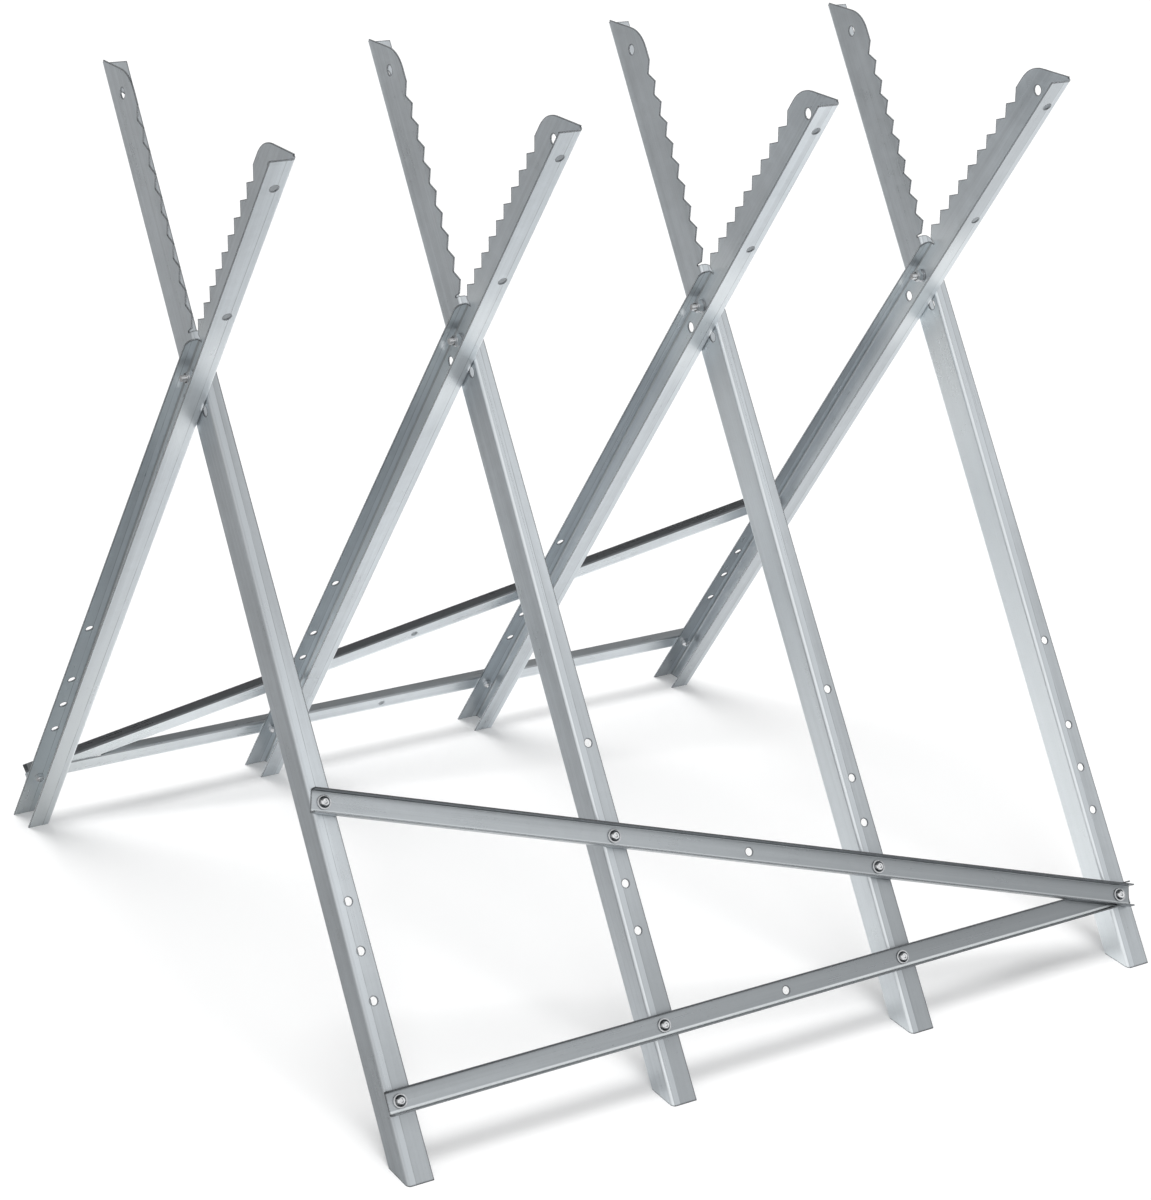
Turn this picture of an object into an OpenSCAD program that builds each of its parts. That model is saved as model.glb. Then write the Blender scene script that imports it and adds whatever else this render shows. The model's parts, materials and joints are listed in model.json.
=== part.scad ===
// Folding log saw stand: four X-shaped frames of folded sheet steel, braced along both sides.
// X runs along the log, Y across it with the front at -Y, and Z is up. The feet stand on Z = 0.
// Each arm is drawn upright about its pivot: +Z along the arm to the jaw, -Y to the log side,
// and +X from the face that meets the other arm to the free edges of the flanges.

/* [Stand] */
// Distance from one frame to the next
frame_pitch = 246; // [180:1:320]
// Lean of every arm from the vertical, in degrees
arm_lean = 34; // [28:0.5:40]
// Height of the pivots above the floor
pivot_height = 548; // [480:1:640]

/* [Sheet] */
// Thickness of the steel sheet of arms and braces
sheet = 1.2; // [1:0.1:2]
// Outside radius of the folds along the arms
fold_r = 3.5; // [3:0.1:6]
// Gap between the two arms of a frame
arm_gap = 0.3; // [0.3:0.05:1]

/* [Arm] */
// Pivot axis to the outer face of the inner flange
pivot_to_inner = 25.4; // [20:0.1:30]
// Width of the inner flange
inner_flange = 22; // [16:0.5:28]
// Pivot axis to the outer face of the outer flange, level with the pivot
pivot_to_outer = 11.1; // [10:0.1:13]
// Angle between the two folds, which narrows the web towards the foot, in degrees
fold_slant = 0.7; // [0:0.05:0.9]
// Width of the outer flange at the foot
outer_flange_foot = 24; // [20:0.5:30]
// Width of the outer flange at its upper end
outer_flange_top = 13; // [11:0.5:16]
// Corner radius of the outer flange's upper end
outer_flange_corner = 8; // [2:0.5:9]
// Gap between a flange's upper end and the edge of the web beside it
flange_relief = 1.2; // [0.8:0.1:3]

/* [Jaw] */
// Pivot axis to the tooth tips
jaw_edge = 22; // [20:0.1:26]
// Depth of a tooth
tooth_depth = 7.6; // [4:0.1:8]
// Distance from one tooth to the next
tooth_pitch = 19.8; // [14:0.1:24]
// Number of teeth below the head of the jaw
tooth_count = 9; // [5:1:12]
// Distance of the lowest tooth root above the pivot
tooth_start = 36; // [32:0.5:50]
// Height of the jaw's level top above its last tooth root
head_height = 35.5; // [34:0.5:50]
// Radius of the head's corner on the tooth side
head_corner = 30; // [15:0.5:34]

/* [Holes] */
// Diameter of the holes in the flanges and braces
hole_d = 7; // [6.6:0.1:9]
// Diameter of the spare holes in the web
web_hole_d = 9; // [6:0.1:11]
// Distance of the lower spare web hole below the pivot
web_hole_drop = 29; // [22:0.5:60]
// Distance of the upper spare web hole above the last tooth root
web_hole_rise = 29; // [20:0.5:32]
// Inset of the outer flange's holes from the mating face of the web
outer_hole_inset = 11; // [10:0.1:13]
// Spacing unit of the outer flange's row of holes
hole_step = 40; // [30:0.5:50]
// Inset of the jaw flange's holes from the mating face of the web
jaw_hole_inset = 10; // [9:0.1:13]
// Distance of the jaw flange's upper hole below the flange's top
jaw_hole_drop = 30; // [12:0.5:60]
// Distance of the jaw flange's lower hole above the lowest tooth root
jaw_hole_rise = 69; // [20:0.5:90]

/* [Brace] */
// Width of a brace
brace_w = 20; // [18:0.5:28]
// Height of a brace's lips, from the back of the brace
brace_lip = 9; // [5:0.5:14]
// Outside radius of a brace's folds
brace_fold_r = 2.2; // [2.1:0.1:3]
// Length of a brace past its end holes
brace_end = 11; // [8:0.5:18]
// Height of the lower brace's holes above the floor
brace_height = 55; // [40:1:90]
// Gap between the two braces where they lap at the shared bolt
lap_gap = 0.15; // [0.12:0.01:0.4]
// Clearance of the lower brace's lip cut-out round the upper brace
lap_clearance = 1; // [0.5:0.1:2]

/* [Pivot fasteners] */
// Diameter of the pivot bolts
pivot_bolt_d = 6; // [5:0.1:6.4]
// Width across flats of the pivot bolts' heads and nuts
pivot_hex = 10; // [9.5:0.1:11]
// Height of a pivot bolt's head
head_h = 4; // [3:0.1:5]
// Height of a pivot nut's hexagon
pivot_nut_h = 5; // [4:0.1:6]
// Length of thread past a pivot nut
pivot_thread = 4; // [0.5:0.1:8]

/* [Brace fasteners] */
// Diameter of the brace bolts
brace_bolt_d = 5; // [4:0.1:6]
// Diameter of a brace bolt's round head
button_d = 9.5; // [8.5:0.1:11]
// Height of a brace bolt's round head
button_h = 2.7; // [2.2:0.1:3.3]
// Height of the straight rim under the round head's dome
button_rim = 0.5; // [0.3:0.1:0.8]
// Diameter of the round head's flat top
button_top_d = 4.8; // [4.2:0.1:5.5]
// Width across flats of the round head's socket
socket_hex = 3; // [2:0.1:3.4]
// Depth of the round head's socket
socket_depth = 1.5; // [0.8:0.1:1.8]
// Width across flats of the brace nuts
brace_hex = 8; // [7.6:0.1:9.5]
// Height of a brace nut's hexagon
brace_nut_h = 3.8; // [3:0.1:5]
// Length of thread past a brace nut
brace_thread = 1.2; // [0.7:0.1:4]

/* [Washers and lock nuts] */
// Diameter of a washer
washer_d = 12; // [11.6:0.1:14]
// Thickness of a washer
washer_t = 1.2; // [0.8:0.1:2]
// Height of a lock nut's collar above its hexagon
collar_h = 1.4; // [0.8:0.1:2.5]
// How much narrower than its hexagon a lock nut's collar is
collar_inset = 1.1; // [0.8:0.1:1.4]
// Chamfer of bolt ends and of hexagon corners
chamfer = 0.6; // [0.2:0.1:0.9]

/* [Fits] */
// Radial running clearance of a pivot bolt in the arms
pivot_clearance = 0.05; // [0.01:0.01:0.1]
// Radial clearance of nuts and washers on a bolt
bolt_clearance = 0.05; // [0.02:0.01:0.15]
// Side clearance between a turning arm and its washer
side_clearance = 0.3; // [0.2:0.05:0.6]
// Clearance between the sloping brace and its washers
seat_clearance = 0.03; // [0.02:0.01:0.1]

/* [Hidden] */
FRAMES = [1, 2, 3, 4];
SPANS = len(FRAMES) - 1;
// Holes of the outer flange and of a brace: steps up the leg, and shares of the brace's length
LEG_HOLE_STEPS = [0, 2, 3, 4, 6];
BRACE_HOLE_SHARES = [0, 1 / 3, 1 / 2, 2 / 3, 1];
// The upper brace is bolted two steps lower on each frame than on the one before
STEPS_PER_SPAN = 2;
// Reach of cutters past the faces that they cut
past = 1;
// Strip of web that is drawn with each fold; the web's outline ends halfway across it
fold_lap = fold_r / 2;
steel = "silver";
zinc = "gainsboro";

web_in = arm_gap / 2;
web_out = web_in + sheet;
last_root = tooth_start + tooth_count * tooth_pitch;
root_edge = jaw_edge - tooth_depth;
top_rise = last_root * cos(arm_lean) + root_edge * sin(arm_lean) + head_height;
web_inner = pivot_to_inner - fold_r - fold_lap / 2;
web_corner = (top_rise + web_inner * sin(arm_lean)) / cos(arm_lean);
inner_flange_end = web_corner - flange_relief;
outer_flange_end = tooth_start - flange_relief;
leg_end = -(pivot_height + pivot_to_outer + inner_flange) / cos(arm_lean);
corner_along = (top_rise - jaw_edge * sin(arm_lean)) / cos(arm_lean);
corner_centre = jaw_edge - head_corner;
corner_centre_along = (top_rise - head_corner - corner_centre * sin(arm_lean)) / cos(arm_lean);
row_start = (brace_height - pivot_height - pivot_to_outer * sin(arm_lean)) / cos(arm_lean - fold_slant);
brace_run = SPANS * frame_pitch;
brace_drop = SPANS * STEPS_PER_SPAN * hole_step;
brace_slope = atan(brace_drop / brace_run);
brace_lift = sheet + lap_gap;
upper_length = norm([brace_run, brace_drop, brace_lift]);
lift_angle = asin(brace_lift / upper_length);
pivot_nut_total = pivot_nut_h + collar_h;
brace_nut_total = brace_nut_h + collar_h;

// X of a frame, counted from 1 at -X
function frame_x(i) = (i - 1 - SPANS / 2) * frame_pitch;

// X of the row of brace holes on a frame's front leg
function brace_hole_x(i) = frame_x(i) + web_in + outer_hole_inset;

// A point of the web's outline: distance from the pivot line to the log side, and along the arm
function web_point(side, along) = [-side, along];

// The same for a point given from the outer face of the outer flange
function outer_point(inward, along) = [
    -pivot_to_outer + inward * cos(fold_slant) - along * sin(fold_slant),
    inward * sin(fold_slant) + along * cos(fold_slant)
];

// How far the upper brace stands off the leg at a frame
function upper_lift(i) = brace_lift * (i - 1) / SPANS;

// Frames of reference

// An arm of frame i with its foot at the front
module on_front_arm(i) {
    translate([frame_x(i), 0, pivot_height]) rotate([-arm_lean, 0, 0]) children();
}

// The plane of the outer flange: Y = 0 on its outer face, Z along it
module on_outer_flange() {
    translate([0, -pivot_to_outer, 0]) rotate([fold_slant, 0, 0]) children();
}

// The plane of the front legs' outer flanges, where the front braces lie
module on_front_side() {
    translate([0, 0, pivot_height]) rotate([-arm_lean, 0, 0]) on_outer_flange() children();
}

// The rear half is the front half turned round
module turned_round() {
    rotate([0, 0, 180]) children();
}

// The pivot axis of frame i
module on_pivot(i) {
    translate([frame_x(i), 0, pivot_height]) children();
}

// Arm

// Web outline with the teeth, below the head's rounded corner
module web_outline() {
    half_pitch = tooth_pitch / 2;
    teeth = [
        for (n = [tooth_count:-1:1]) each [
            web_point(root_edge, tooth_start + n * tooth_pitch),
            web_point(jaw_edge, tooth_start + n * tooth_pitch - half_pitch)
        ]
    ];
    arc_end = web_point(
        corner_centre + head_corner * sin(arm_lean),
        corner_centre_along + head_corner * cos(arm_lean)
    );
    polygon(concat(
        [
            web_point(-web_inner, leg_end),
            web_point(-web_inner, web_corner),
            arc_end,
            web_point(jaw_edge, corner_centre_along),
            web_point(jaw_edge, last_root + half_pitch)
        ],
        teeth,
        [
            web_point(root_edge, tooth_start),
            outer_point(fold_r + fold_lap / 2, tooth_start),
            outer_point(fold_r + fold_lap / 2, leg_end)
        ]
    ));
    intersection() {
        translate(web_point(corner_centre, corner_centre_along)) circle(head_corner, $fn = 96);
        polygon([
            web_point(corner_centre, corner_centre_along),
            web_point(jaw_edge, corner_centre_along),
            web_point(jaw_edge, corner_along),
            arc_end
        ]);
    }
}

// Fold from the web into a flange, seen along the arm, with the flange's outer face on Y = 0
module fold_profile() {
    translate([web_in + fold_r, fold_r]) intersection() {
        difference() {
            circle(fold_r, $fn = 48);
            circle(fold_r - sheet, $fn = 48);
        }
        translate([-fold_r, -fold_r]) square(fold_r);
    }
    translate([web_in, fold_r]) square([sheet, fold_lap]);
}

// Outer flange beyond its fold, tapering upwards to a rounded end
module outer_flange_plate() {
    shoulder = outer_flange_end - outer_flange_corner;
    shoulder_x = web_in + outer_flange_top;
    root_x = web_in + fold_r;
    translate([0, sheet, 0]) rotate([90, 0, 0]) linear_extrude(sheet) {
        polygon([
            [root_x, leg_end],
            [web_in + outer_flange_foot, leg_end],
            [shoulder_x, shoulder - sheet],
            [shoulder_x, shoulder],
            [shoulder_x - outer_flange_corner, outer_flange_end],
            [root_x, outer_flange_end]
        ]);
        translate([shoulder_x - outer_flange_corner, shoulder]) intersection() {
            circle(outer_flange_corner, $fn = 48);
            square(outer_flange_corner);
        }
    }
}

// Hole through the web, at a distance along the arm
module web_hole(along, diameter) {
    translate([web_in - past, 0, along]) rotate([0, 90, 0])
        cylinder(d = diameter, h = sheet + 2 * past, $fn = 48);
}

// Hole through a plate that lies across Y, with its outer face on Y = 0
module plate_hole(x, along) {
    translate([x, sheet + past, along]) rotate([90, 0, 0])
        cylinder(d = hole_d, h = sheet + 2 * past, $fn = 48);
}

// The space under the floor, seen from the upright arm
module under_floor() {
    reach = 2 * pivot_height;
    rotate([arm_lean, 0, 0]) translate([-reach / 2, -reach / 2, -pivot_height - reach]) cube(reach);
}

// One folded arm
module arm() {
    difference() {
        union() {
            translate([web_in, 0, 0]) rotate([90, 0, 90]) linear_extrude(sheet) web_outline();
            translate([0, pivot_to_inner, inner_flange_end]) rotate([180, 0, 0])
                linear_extrude(inner_flange_end - leg_end) {
                    fold_profile();
                    translate([web_in + fold_r, 0]) square([inner_flange - fold_r, sheet]);
                }
            on_outer_flange() {
                translate([0, 0, outer_flange_end]) mirror([0, 0, 1])
                    linear_extrude(outer_flange_end - leg_end) fold_profile();
                outer_flange_plate();
            }
        }
        web_hole(0, pivot_bolt_d + 2 * pivot_clearance);
        web_hole(-web_hole_drop, web_hole_d);
        web_hole(last_root + web_hole_rise, web_hole_d);
        for (along = [tooth_start + jaw_hole_rise, inner_flange_end - jaw_hole_drop])
            translate([0, pivot_to_inner - sheet, 0]) plate_hole(web_in + jaw_hole_inset, along);
        on_outer_flange() for (steps = LEG_HOLE_STEPS)
            plate_hole(web_in + outer_hole_inset, row_start + steps * hole_step);
        under_floor();
    }
}

module front_arm(i) {
    color(steel) on_front_arm(i) arm();
}

module rear_arm(i) {
    color(steel) turned_round() on_front_arm(len(FRAMES) + 1 - i) arm();
}

// Braces

// Section of a brace: back on Y = 0, lips along +Y
module brace_section() {
    back = brace_w / 2 - brace_fold_r;
    translate([-back, 0]) square([2 * back, sheet]);
    for (side = [0, 1]) mirror([side, 0]) {
        translate([back, brace_fold_r]) intersection() {
            difference() {
                circle(brace_fold_r, $fn = 48);
                circle(brace_fold_r - sheet, $fn = 48);
            }
            translate([0, -brace_fold_r]) square(brace_fold_r);
        }
        translate([brace_w / 2 - sheet, brace_fold_r]) square([sheet, brace_lip - brace_fold_r]);
    }
}

// Brace along +X from its first hole, back on Y = 0 and lips to -Y
module brace(hole_run) {
    difference() {
        translate([-brace_end, 0, 0]) rotate([0, 90, 0]) rotate([0, 0, 180])
            linear_extrude(hole_run + 2 * brace_end) brace_section();
        for (share = BRACE_HOLE_SHARES) translate([0, -sheet, 0]) plate_hole(share * hole_run, 0);
    }
}

// Level brace, with its lips cut away where the sloping brace lies over it
module lower_brace() {
    on_front_side() difference() {
        translate([brace_hole_x(1), 0, row_start]) brace(brace_run);
        translate([brace_hole_x(len(FRAMES)), -brace_lip - past, row_start]) rotate([0, brace_slope, 0])
            translate([-brace_run / 2, 0, -brace_w / 2 - lap_clearance])
                cube([brace_run, brace_lip + past - sheet, brace_w + 2 * lap_clearance]);
    }
}

// Sloping brace, which rises off the legs just enough to lie over the level one at the last frame
module upper_brace() {
    on_front_side() translate([brace_hole_x(1), 0, row_start + brace_drop])
        rotate([0, brace_slope, 0]) rotate([0, 0, -lift_angle]) brace(upper_length);
}

module front_lower_brace() {
    color(steel) lower_brace();
}

module front_upper_brace() {
    color(steel) upper_brace();
}

module rear_lower_brace() {
    color(steel) turned_round() lower_brace();
}

module rear_upper_brace() {
    color(steel) turned_round() upper_brace();
}

// Fasteners, along +Z

// Hexagon from Z = 0 with its far corners chamfered
module hexagon(across, height) {
    corner_r = across / 2 / cos(30);
    intersection() {
        cylinder(r = corner_r, h = height, $fn = 6);
        rotate_extrude($fn = 64) polygon([
            [0, 0],
            [corner_r, 0],
            [corner_r, height - chamfer],
            [corner_r - chamfer, height],
            [0, height]
        ]);
    }
}

// Shank from inside a head at Z = -root to a chamfered end
module shank(diameter, root, length) {
    rotate_extrude($fn = 64) polygon([
        [0, -root],
        [diameter / 2, -root],
        [diameter / 2, length - chamfer],
        [diameter / 2 - chamfer, length],
        [0, length]
    ]);
}

// Bolt with its hexagon head below Z = 0 and its shank above
module hexagon_bolt(length) {
    mirror([0, 0, 1]) hexagon(pivot_hex, head_h);
    shank(pivot_bolt_d, head_h / 2, length);
}

// Bolt with a low domed head and a hexagon socket below Z = 0 and its shank above
module button_bolt(length) {
    dome_rise = button_h - button_rim;
    fall = (pow(button_d / 2, 2) - pow(button_top_d / 2, 2)) / dome_rise;
    dome_centre = (button_h + button_rim - fall) / 2;
    dome_r = norm([button_d / 2, button_rim - dome_centre]);
    difference() {
        mirror([0, 0, 1]) rotate_extrude($fn = 64) intersection() {
            square([button_d / 2, button_h]);
            translate([0, dome_centre]) circle(dome_r, $fn = 96);
        }
        translate([0, 0, -button_h - past])
            cylinder(d = socket_hex / cos(30), h = socket_depth + past, $fn = 6);
    }
    shank(brace_bolt_d, (button_h - socket_depth) / 2, length);
}

// Round bore for a bolt in something that is so thick
module bolt_bore(diameter, thickness) {
    translate([0, 0, -past]) cylinder(d = diameter + 2 * bolt_clearance, h = thickness + 2 * past, $fn = 64);
}

module washer(bolt_d) {
    difference() {
        cylinder(d = washer_d, h = washer_t, $fn = 64);
        bolt_bore(bolt_d, washer_t);
    }
}

// Lock nut: hexagon with a round collar over its far end
module lock_nut(across, height, bolt_d) {
    difference() {
        union() {
            hexagon(across, height);
            cylinder(d = across - collar_inset, h = height + collar_h, $fn = 64);
        }
        bolt_bore(bolt_d, height + collar_h);
    }
}

// Pivot fasteners: head in the front arm's channel at +X, nut in the rear arm's at -X
pivot_head_seat = web_out + washer_t;
pivot_washer_seat = web_out + side_clearance;
pivot_nut_seat = pivot_washer_seat + washer_t;

module pivot_bolt(i) {
    color(zinc) on_pivot(i) translate([pivot_head_seat, 0, 0]) rotate([0, -90, 0])
        hexagon_bolt(pivot_head_seat + pivot_nut_seat + pivot_nut_total + pivot_thread);
}

module pivot_nut(i) {
    color(zinc) on_pivot(i) translate([-pivot_nut_seat, 0, 0]) rotate([0, -90, 0])
        lock_nut(pivot_hex, pivot_nut_h, pivot_bolt_d);
}

module pivot_washers(i) {
    color(zinc) on_pivot(i) {
        translate([web_out, 0, 0]) rotate([0, 90, 0]) washer(pivot_bolt_d);
        translate([-pivot_washer_seat, 0, 0]) rotate([0, -90, 0]) washer(pivot_bolt_d);
    }
}

// Brace fasteners: washer and round head outside the brace, lock nut inside the leg

// The bolt axis of frame i at a step of its hole row, outwards along +Z from the leg's outer face
module on_brace_bolt(i, steps) {
    on_front_side() translate([brace_hole_x(i), 0, row_start + steps * hole_step]) rotate([90, 0, 0])
        children();
}

module brace_bolt(stack) {
    translate([0, 0, stack + washer_t]) mirror([0, 0, 1])
        button_bolt(washer_t + stack + sheet + brace_nut_total + brace_thread);
}

module brace_nut() {
    translate([0, 0, -sheet]) mirror([0, 0, 1]) lock_nut(brace_hex, brace_nut_h, brace_bolt_d);
}

// Frames where the lower brace has bolts of its own
lower_frames = [for (i = FRAMES) if (i < len(FRAMES)) i];

function upper_steps(i) = STEPS_PER_SPAN * (len(FRAMES) - i);

function upper_stack(i) = upper_lift(i) + sheet + seat_clearance;

module lower_bolts() {
    for (i = lower_frames) on_brace_bolt(i, 0) brace_bolt(sheet);
}

module upper_bolts() {
    for (i = FRAMES) on_brace_bolt(i, upper_steps(i)) brace_bolt(upper_stack(i));
}

module lower_washers() {
    for (i = lower_frames) on_brace_bolt(i, 0) translate([0, 0, sheet]) washer(brace_bolt_d);
}

module upper_washers() {
    for (i = FRAMES) on_brace_bolt(i, upper_steps(i))
        translate([0, 0, upper_stack(i)]) washer(brace_bolt_d);
}

module lower_nuts() {
    for (i = lower_frames) on_brace_bolt(i, 0) brace_nut();
}

module upper_nuts() {
    for (i = FRAMES) on_brace_bolt(i, upper_steps(i)) brace_nut();
}

module front_lower_bolts() {
    color(zinc) lower_bolts();
}

module front_upper_bolts() {
    color(zinc) upper_bolts();
}

module rear_lower_bolts() {
    color(zinc) turned_round() lower_bolts();
}

module rear_upper_bolts() {
    color(zinc) turned_round() upper_bolts();
}

module front_lower_washers() {
    color(zinc) lower_washers();
}

module front_upper_washers() {
    color(zinc) upper_washers();
}

module rear_lower_washers() {
    color(zinc) turned_round() lower_washers();
}

module rear_upper_washers() {
    color(zinc) turned_round() upper_washers();
}

module front_lower_nuts() {
    color(zinc) lower_nuts();
}

module front_upper_nuts() {
    color(zinc) upper_nuts();
}

module rear_lower_nuts() {
    color(zinc) turned_round() lower_nuts();
}

module rear_upper_nuts() {
    color(zinc) turned_round() upper_nuts();
}

for (i = FRAMES) {
    front_arm(i);
    rear_arm(i);
    pivot_bolt(i);
    pivot_nut(i);
    pivot_washers(i);
}
front_lower_brace();
front_upper_brace();
rear_lower_brace();
rear_upper_brace();
front_lower_bolts();
front_upper_bolts();
rear_lower_bolts();
rear_upper_bolts();
front_lower_washers();
front_upper_washers();
rear_lower_washers();
rear_upper_washers();
front_lower_nuts();
front_upper_nuts();
rear_lower_nuts();
rear_upper_nuts();
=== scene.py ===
"""Folding log saw stand: sheet finishes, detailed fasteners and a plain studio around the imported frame."""

import functools
import json
import math
from collections import namedtuple

import bmesh
import bpy
import numpy as np
from bpy.props import FloatProperty, FloatVectorProperty, IntProperty, PointerProperty
from mathutils import Euler, Matrix, Vector

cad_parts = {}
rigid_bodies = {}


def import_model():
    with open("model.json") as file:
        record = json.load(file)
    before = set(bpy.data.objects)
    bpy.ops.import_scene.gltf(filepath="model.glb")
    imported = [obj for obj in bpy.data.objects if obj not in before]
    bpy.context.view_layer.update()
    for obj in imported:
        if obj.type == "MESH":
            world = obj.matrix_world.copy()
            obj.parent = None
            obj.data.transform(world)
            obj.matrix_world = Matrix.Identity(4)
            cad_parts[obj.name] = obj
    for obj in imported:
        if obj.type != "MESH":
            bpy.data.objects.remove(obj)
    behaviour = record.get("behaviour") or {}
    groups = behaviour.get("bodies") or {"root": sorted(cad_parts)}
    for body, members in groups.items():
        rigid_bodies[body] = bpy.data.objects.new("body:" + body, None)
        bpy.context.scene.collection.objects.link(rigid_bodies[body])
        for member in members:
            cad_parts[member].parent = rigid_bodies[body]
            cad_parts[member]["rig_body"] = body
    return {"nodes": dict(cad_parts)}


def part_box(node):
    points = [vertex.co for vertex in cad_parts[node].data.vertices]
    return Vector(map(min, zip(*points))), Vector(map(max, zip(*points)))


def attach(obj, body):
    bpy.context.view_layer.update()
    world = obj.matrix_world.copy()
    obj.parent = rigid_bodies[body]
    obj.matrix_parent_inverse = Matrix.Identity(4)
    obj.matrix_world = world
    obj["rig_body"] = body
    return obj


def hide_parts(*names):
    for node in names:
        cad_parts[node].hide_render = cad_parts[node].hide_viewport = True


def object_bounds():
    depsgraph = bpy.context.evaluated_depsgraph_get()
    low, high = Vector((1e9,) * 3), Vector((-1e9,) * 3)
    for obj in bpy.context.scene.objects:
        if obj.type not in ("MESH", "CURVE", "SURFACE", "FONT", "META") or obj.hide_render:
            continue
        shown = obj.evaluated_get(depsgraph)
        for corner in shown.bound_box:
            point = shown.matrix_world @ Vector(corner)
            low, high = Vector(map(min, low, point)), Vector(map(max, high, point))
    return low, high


bl_info = {
    "name": "Folding log saw stand",
    "version": (1, 0, 0),
    "blender": (4, 5, 0),
    "location": "View3D > Sidebar > Saw stand",
    "description": "Finishes the sheet steel arms and braces and builds the bolts, washers and lock nuts",
    "category": "Object",
}

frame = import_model()
cad_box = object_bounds()
NODES = frame["nodes"]

FRAME_NUMBERS = (1, 2, 3, 4)
SIDES = ("front", "rear")
ROWS = ("lower", "upper")
SIDE_LEAN = {"front": 1, "rear": -1}
UP = Vector((0, 0, 1))
ALONG = Vector((1, 0, 0))
PIVOT_AXIS = Vector((-1, 0, 0))
PIVOT_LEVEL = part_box("pivot_bolt_1")[0].z
FRAME_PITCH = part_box("front_arm_2")[0].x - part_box("front_arm_1")[0].x
FIRST_FRAME = -1.5 * FRAME_PITCH
# A hexagon's radius to its flats, as a share of that to its corners
FLAT_SHARE = math.cos(math.pi / 6)
SHARP_ANGLE = math.radians(32)
FLOOR_REACH = 40.0


# Measuring the frame


def body_of_node(node):
    """The name of the body that a CAD node rides on."""
    return NODES[node]["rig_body"]


def node_points(node):
    """A node's vertices as an array of points."""
    mesh = NODES[node].data
    points = np.zeros(len(mesh.vertices) * 3)
    mesh.vertices.foreach_get("co", points)
    return points.reshape(-1, 3)


def loose_solids(node):
    """One array of points for each separate solid of a node."""
    mesh = NODES[node].data
    points = node_points(node)
    welded, place = np.unique(np.round(points, 7), axis=0, return_inverse=True)
    place = place.reshape(-1)
    root = np.arange(len(welded))

    def leader(i):
        while root[i] != i:
            root[i] = root[root[i]]
            i = root[i]
        return i

    for edge in mesh.edges:
        a, b = (leader(place[v]) for v in edge.vertices)
        root[a] = b
    leaders = np.array([leader(i) for i in range(len(welded))])
    return [welded[leaders == found] for found in np.unique(leaders)]


def flat_axis(points):
    """The direction in which a flat solid, such as a washer, is thinnest."""
    return Vector(np.linalg.svd(points - points.mean(0), full_matrices=False)[2][-1])


def side_axis(side):
    """Outward direction of a side's brace bolts, read from their washers."""
    axis = flat_axis(loose_solids(f"{side}_lower_washers")[0])
    return axis if (axis.y < 0) == (side == "front") else -axis


def measured(points, axis):
    """(inner end, length, outer radius, bore radius) of a round or hexagonal solid about an axis."""
    across = axis.cross(ALONG if abs(axis.x) < 0.5 else UP).normalized()
    basis = np.array([across, axis.cross(across), axis])
    local = points @ basis.T
    low, high = local.min(0), local.max(0)
    middle = (low + high) / 2
    away = np.hypot(*(local - middle)[:, :2].T)
    inner = Vector(np.array([middle[0], middle[1], low[2]]) @ basis)
    return inner, float(high[2] - low[2]), float(away.max()), float(away.min())


def bolt_size(points, axis):
    """(inner end, length, head height, head radius, shank radius) of a bolt whose head is its inner end."""
    inner, length, radius, _ = measured(points, axis)
    heights = (points - np.array(inner)) @ np.array(axis)
    away = np.linalg.norm(points - np.array(inner) - np.outer(heights, np.array(axis)), axis=1)
    surely_shank, surely_head = 0.7, 1.2
    shank = float(away[heights > surely_shank * heights.max()].max())
    return inner, length, float(heights[away > surely_head * shank].max()), radius, shank


def seat_matrix(origin, axis):
    """Places a piece made along +Z with a corner on +X at origin, along axis."""
    corner = ALONG if abs(axis.x) < 0.5 else UP
    return Matrix.Translation(origin) @ Matrix((corner, axis.cross(corner), axis)).transposed().to_4x4()


def across_span(node, turn):
    """(low, high) reach of a brace across its length, in the turned frame of its rolling lines."""
    across = -(node_points(node) @ np.array(Euler(turn).to_matrix()).T)[:, 0]
    return float(across.min()), float(across.max())


def brace_fasteners(kind):
    """(node, axis) of one kind of fastener on every brace: washers point outwards, the others inwards."""
    for side in SIDES:
        outward = side_axis(side)
        for row in ROWS:
            yield f"{side}_{row}_{kind}", outward if kind == "washers" else -outward


def pivot_fasteners(kind):
    """(node, axis) of one kind of fastener at every pivot."""
    for number in FRAME_NUMBERS:
        yield f"pivot_{kind}_{number}", PIVOT_AXIS


# Settings

COLOUR = {"subtype": "COLOR", "size": 4, "min": 0, "max": 1}


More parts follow.
